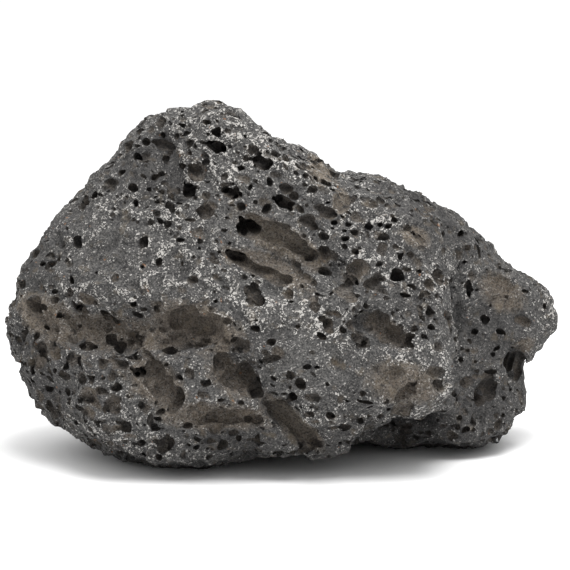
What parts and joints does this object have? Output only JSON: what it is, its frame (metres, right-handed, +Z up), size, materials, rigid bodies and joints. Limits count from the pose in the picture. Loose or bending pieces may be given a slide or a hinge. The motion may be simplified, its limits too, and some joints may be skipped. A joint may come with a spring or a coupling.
{
  "type": "lava rock",
  "caption": "Dark grey lava rock, peaked left of the middle and pointed at the right, pitted all over with gas bubble holes, for display or landscaping.",
  "frame": {"origin": "middle of the bounding box in plan, at the height of the worn flats the stone rests on", "axes": "+X along the length towards the pointed end, +Z up, -Y out of the broad peaked face"},
  "size_m": [0.1842, 0.1018, 0.1189],
  "materials": {
    "basalt": "rough, matt, pitted"
  },
  "bodies": {
    "root": {"lava_rock": "basalt"}
  },
  "joints": []
}
